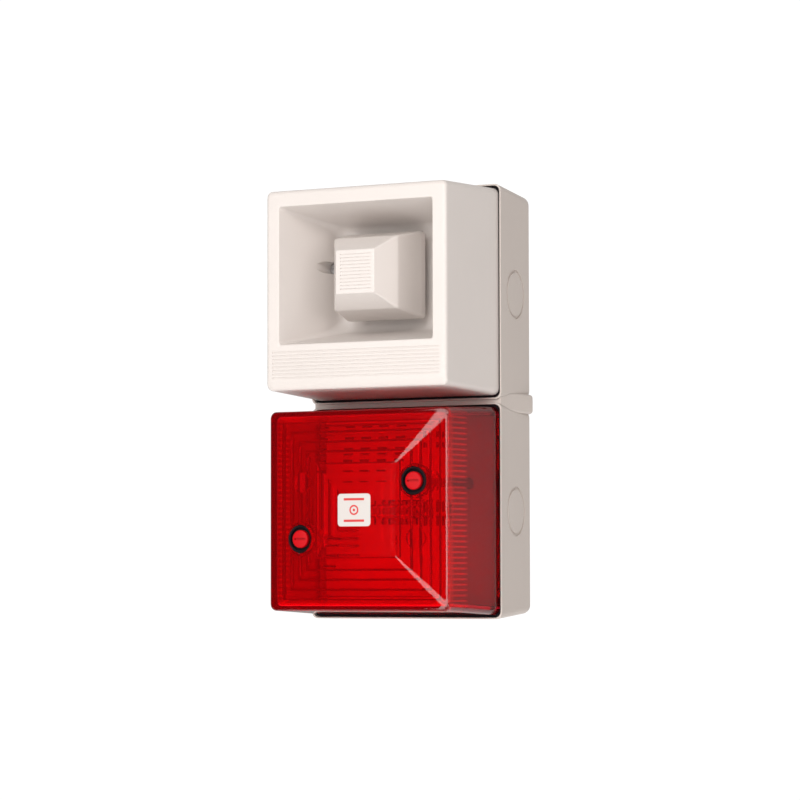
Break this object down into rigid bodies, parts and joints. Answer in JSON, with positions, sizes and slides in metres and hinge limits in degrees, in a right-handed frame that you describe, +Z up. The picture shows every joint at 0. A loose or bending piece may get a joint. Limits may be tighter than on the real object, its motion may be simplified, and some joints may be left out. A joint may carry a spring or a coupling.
{
  "type": "wall sounder beacon",
  "caption": "Wall alarm unit: a square horn sounder above a red flashing beacon, on two joined back boxes with lift-off fronts.",
  "frame": {"origin": "middle of the rear face of the collar between the two back boxes, on the wall", "axes": "+Y into the wall, +Z up, +X to the right of someone facing the unit"},
  "size_m": [0.095, 0.0836, 0.19],
  "materials": {
    "box_plastic": "satin moulded",
    "sounder_plastic": "satin moulded",
    "black_plastic": "satin",
    "zinc_steel": "bright zinc",
    "stainless_steel": "brushed",
    "driver_steel": "zinc plated",
    "brass_insert": "machined",
    "circuit_board": "solder mask",
    "terminal_green": "moulded",
    "wire_red": "sheathed",
    "white_plastic": "moulded",
    "tube_glass": "clear",
    "capacitor_sleeve": "shrunk sleeve",
    "transformer_yellow": "taped",
    "seal_rubber": "foam and rubber",
    "diaphragm_film": "film",
    "coil_copper": "enamelled wire",
    "ferrite": "sintered",
    "switch_red": "moulded",
    "trimmer_blue": "moulded",
    "lens_red": "clear tinted, gloss",
    "label_white": "printed film"
  },
  "bodies": {
    "base": {"upper_back_box": "box_plastic", "lower_back_box": "box_plastic", "joining_collar": "box_plastic", "coupling_bush": "black_plastic", "coupling_locknut": "black_plastic", "joining_screws": "zinc_steel", "joining_nuts": "zinc_steel", "box_inserts": "brass_insert", "terminal_board": "circuit_board", "beacon_board": "circuit_board", "board_screws": "zinc_steel", "terminal_blocks": "terminal_green", "terminal_screws": "zinc_steel", "link_wires": "wire_red", "head_socket": "black_plastic", "tube_holder": "white_plastic", "flash_tube": "tube_glass", "tube_caps": "zinc_steel", "energy_capacitor": "capacitor_sleeve", "trigger_transformer": "transformer_yellow", "beacon_components": "black_plastic", "reflector": "white_plastic"},
    "sounder_head": {"sounder_housing": "sounder_plastic", "horn_bell": "sounder_plastic", "sounder_gasket": "seal_rubber", "clamp_ring": "black_plastic", "top_plate": "driver_steel", "magnet": "ferrite", "yoke": "driver_steel", "driver_cover": "black_plastic", "driver_screws": "zinc_steel", "sounder_board": "circuit_board", "sounder_board_screws": "zinc_steel", "sounder_components": "black_plastic", "head_plug": "black_plastic", "tone_switch": "switch_red", "volume_trimmer": "trimmer_blue", "sounder_screw_seals": "seal_rubber", "sounder_retainers": "white_plastic"},
    "lens": {"beacon_lens": "lens_red", "lens_gasket": "seal_rubber", "lens_label": "label_white", "lens_screw_seals": "seal_rubber", "lens_retainers": "white_plastic"},
    "diaphragm": {"diaphragm": "diaphragm_film", "voice_coil": "coil_copper"},
    "tone_slider_1": {"tone_slider_1": "white_plastic"},
    "tone_slider_2": {"tone_slider_2": "white_plastic"},
    "tone_slider_3": {"tone_slider_3": "white_plastic"},
    "tone_slider_4": {"tone_slider_4": "white_plastic"},
    "tone_slider_5": {"tone_slider_5": "white_plastic"},
    "trimmer_rotor": {"trimmer_rotor": "white_plastic"},
    "sounder_screw_left": {"sounder_screw_left": "stainless_steel"},
    "sounder_screw_right": {"sounder_screw_right": "stainless_steel"},
    "lens_screw_upper": {"lens_screw_upper": "lens_red"},
    "lens_screw_lower": {"lens_screw_lower": "lens_red"}
  },
  "joints": [
    {"name": "sounder_lift_off", "type": "slide", "parent": "base", "child": "sounder_head", "axis": [0, -1, 0], "range_m": [0, 0.06]},
    {"name": "lens_lift_off", "type": "slide", "parent": "base", "child": "lens", "axis": [0, -1, 0], "range_m": [0, 0.06]},
    {"name": "diaphragm_travel", "type": "slide", "parent": "sounder_head", "child": "diaphragm", "axis": [0, -1, 0], "range_m": [-0.0004, 0.0004], "stiffness_N_per_m": 2000},
    {"name": "tone_slider_1_travel", "type": "slide", "parent": "sounder_head", "child": "tone_slider_1", "axis": [0, 0, -1], "range_m": [0, 0.002]},
    {"name": "tone_slider_2_travel", "type": "slide", "parent": "sounder_head", "child": "tone_slider_2", "axis": [0, 0, -1], "range_m": [0, 0.002]},
    {"name": "tone_slider_3_travel", "type": "slide", "parent": "sounder_head", "child": "tone_slider_3", "axis": [0, 0, -1], "range_m": [0, 0.002]},
    {"name": "tone_slider_4_travel", "type": "slide", "parent": "sounder_head", "child": "tone_slider_4", "axis": [0, 0, -1], "range_m": [0, 0.002]},
    {"name": "tone_slider_5_travel", "type": "slide", "parent": "sounder_head", "child": "tone_slider_5", "axis": [0, 0, -1], "range_m": [0, 0.002]},
    {"name": "volume_turn", "type": "hinge", "parent": "sounder_head", "child": "trimmer_rotor", "pos_m": [0.012, -0.0135, 0.07], "axis": [0, 1, 0], "range_deg": [0, 270]},
    {"name": "sounder_screw_left_turn", "type": "hinge", "parent": "sounder_head", "child": "sounder_screw_left", "pos_m": [-0.0277, -0.045, 0.06008], "axis": [0, -1, 0], "continuous": true},
    {"name": "sounder_screw_right_turn", "type": "hinge", "parent": "sounder_head", "child": "sounder_screw_right", "pos_m": [0.0277, -0.045, 0.03567], "axis": [0, -1, 0], "continuous": true},
    {"name": "lens_screw_upper_turn", "type": "hinge", "parent": "lens", "child": "lens_screw_upper", "pos_m": [0.0277, -0.077, -0.03567], "axis": [0, -1, 0], "continuous": true},
    {"name": "lens_screw_lower_turn", "type": "hinge", "parent": "lens", "child": "lens_screw_lower", "pos_m": [-0.0277, -0.077, -0.06008], "axis": [0, -1, 0], "continuous": true}
  ]
}
